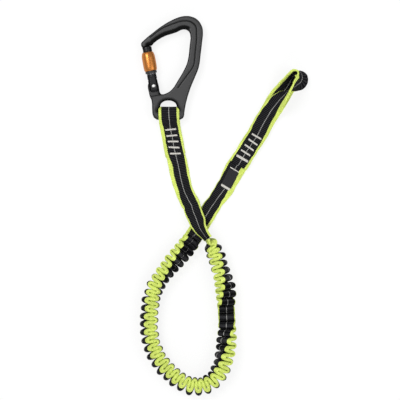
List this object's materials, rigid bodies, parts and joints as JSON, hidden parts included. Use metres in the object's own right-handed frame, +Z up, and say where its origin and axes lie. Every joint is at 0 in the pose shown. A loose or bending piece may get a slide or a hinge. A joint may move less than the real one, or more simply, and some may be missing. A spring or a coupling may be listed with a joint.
{
  "type": "safety tether",
  "caption": "Elastic safety tether: a screw-lock carabiner sewn into webbing that is gathered over an elastic core, with a sewn soft loop at its far end.",
  "frame": {"origin": "on the ground plane, under the middle of the carabiner's outline", "axes": "+Y along the carabiner from its eye to its bow, +X from its gate to its spine, +Z up from the surface that the tether lies on"},
  "size_m": [0.2017, 0.4547, 0.031],
  "materials": {
    "body_metal": "dark grey satin anodising",
    "gate_metal": "black anodising",
    "sleeve_metal": "copper-orange anodising",
    "steel": "bright steel",
    "ring_plastic": "dark moulded ring",
    "webbing": "charcoal tubular webbing with yellow-green edges and a pale tracer",
    "thread": "off-white bar tack thread",
    "elastic": "elastic cord",
    "patch": "sewn bare patch"
  },
  "bodies": {
    "tether": {"carabiner_strap": "webbing", "carabiner_tack_1": "thread", "carabiner_tack_2": "thread", "carabiner_tack_3": "thread", "carabiner_tack_4": "thread", "carabiner_tack_5": "thread", "elastic_web": "webbing", "elastic_core": "elastic", "loop_strap": "webbing", "loop_tack_1": "thread", "loop_tack_2": "thread", "loop_tack_3": "thread", "loop_tack_4": "thread", "loop_tack_5": "thread", "id_patch": "patch", "patch_tack_1": "thread", "patch_tack_2": "thread"},
    "carabiner": {"carabiner_body": "body_metal", "gate_rivet": "steel"},
    "gate": {"gate_arm": "gate_metal", "gate_spring": "steel"},
    "plunger": {"gate_plunger": "steel"},
    "sleeve_guide": {"sleeve_guide_ring": "ring_plastic"},
    "sleeve": {"lock_sleeve": "sleeve_metal"}
  },
  "joints": [
    {"name": "carabiner_swing", "type": "hinge", "parent": "tether", "child": "carabiner", "pos_m": [-0.0043, -0.05705, 0.0081], "axis": [1, 0, 0], "range_deg": [-100, 100]},
    {"name": "gate_open", "type": "hinge", "parent": "carabiner", "child": "gate", "pos_m": [-0.022, -0.02145, 0.0081], "axis": [0, 0, -1], "range_deg": [0, 26], "stiffness_Nm_per_rad": 0.4, "springref_deg": -28.65, "deforming": ["gate_spring"]},
    {"name": "plunger_slide", "type": "slide", "parent": "gate", "child": "plunger", "axis": [-0.1802, 0.9836, 0], "range_m": [0, 0.0014]},
    {"name": "sleeve_turn", "type": "hinge", "parent": "sleeve_guide", "child": "sleeve", "pos_m": [-0.022, -0.02145, 0.0081], "axis": [-0.1802, 0.9836, 0], "range_deg": [-450, 1020]},
    {"name": "sleeve_slide", "type": "slide", "parent": "gate", "child": "sleeve_guide", "axis": [-0.1802, 0.9836, 0], "range_m": [-0.00301, 0.00681]}
  ],
  "couplings": [
    {"joint": "plunger_slide", "follows": "gate_open", "m_per_rad": 0.002864},
    {"joint": "sleeve_slide", "follows": "sleeve_turn", "m_per_rad": 0.00038197}
  ]
}
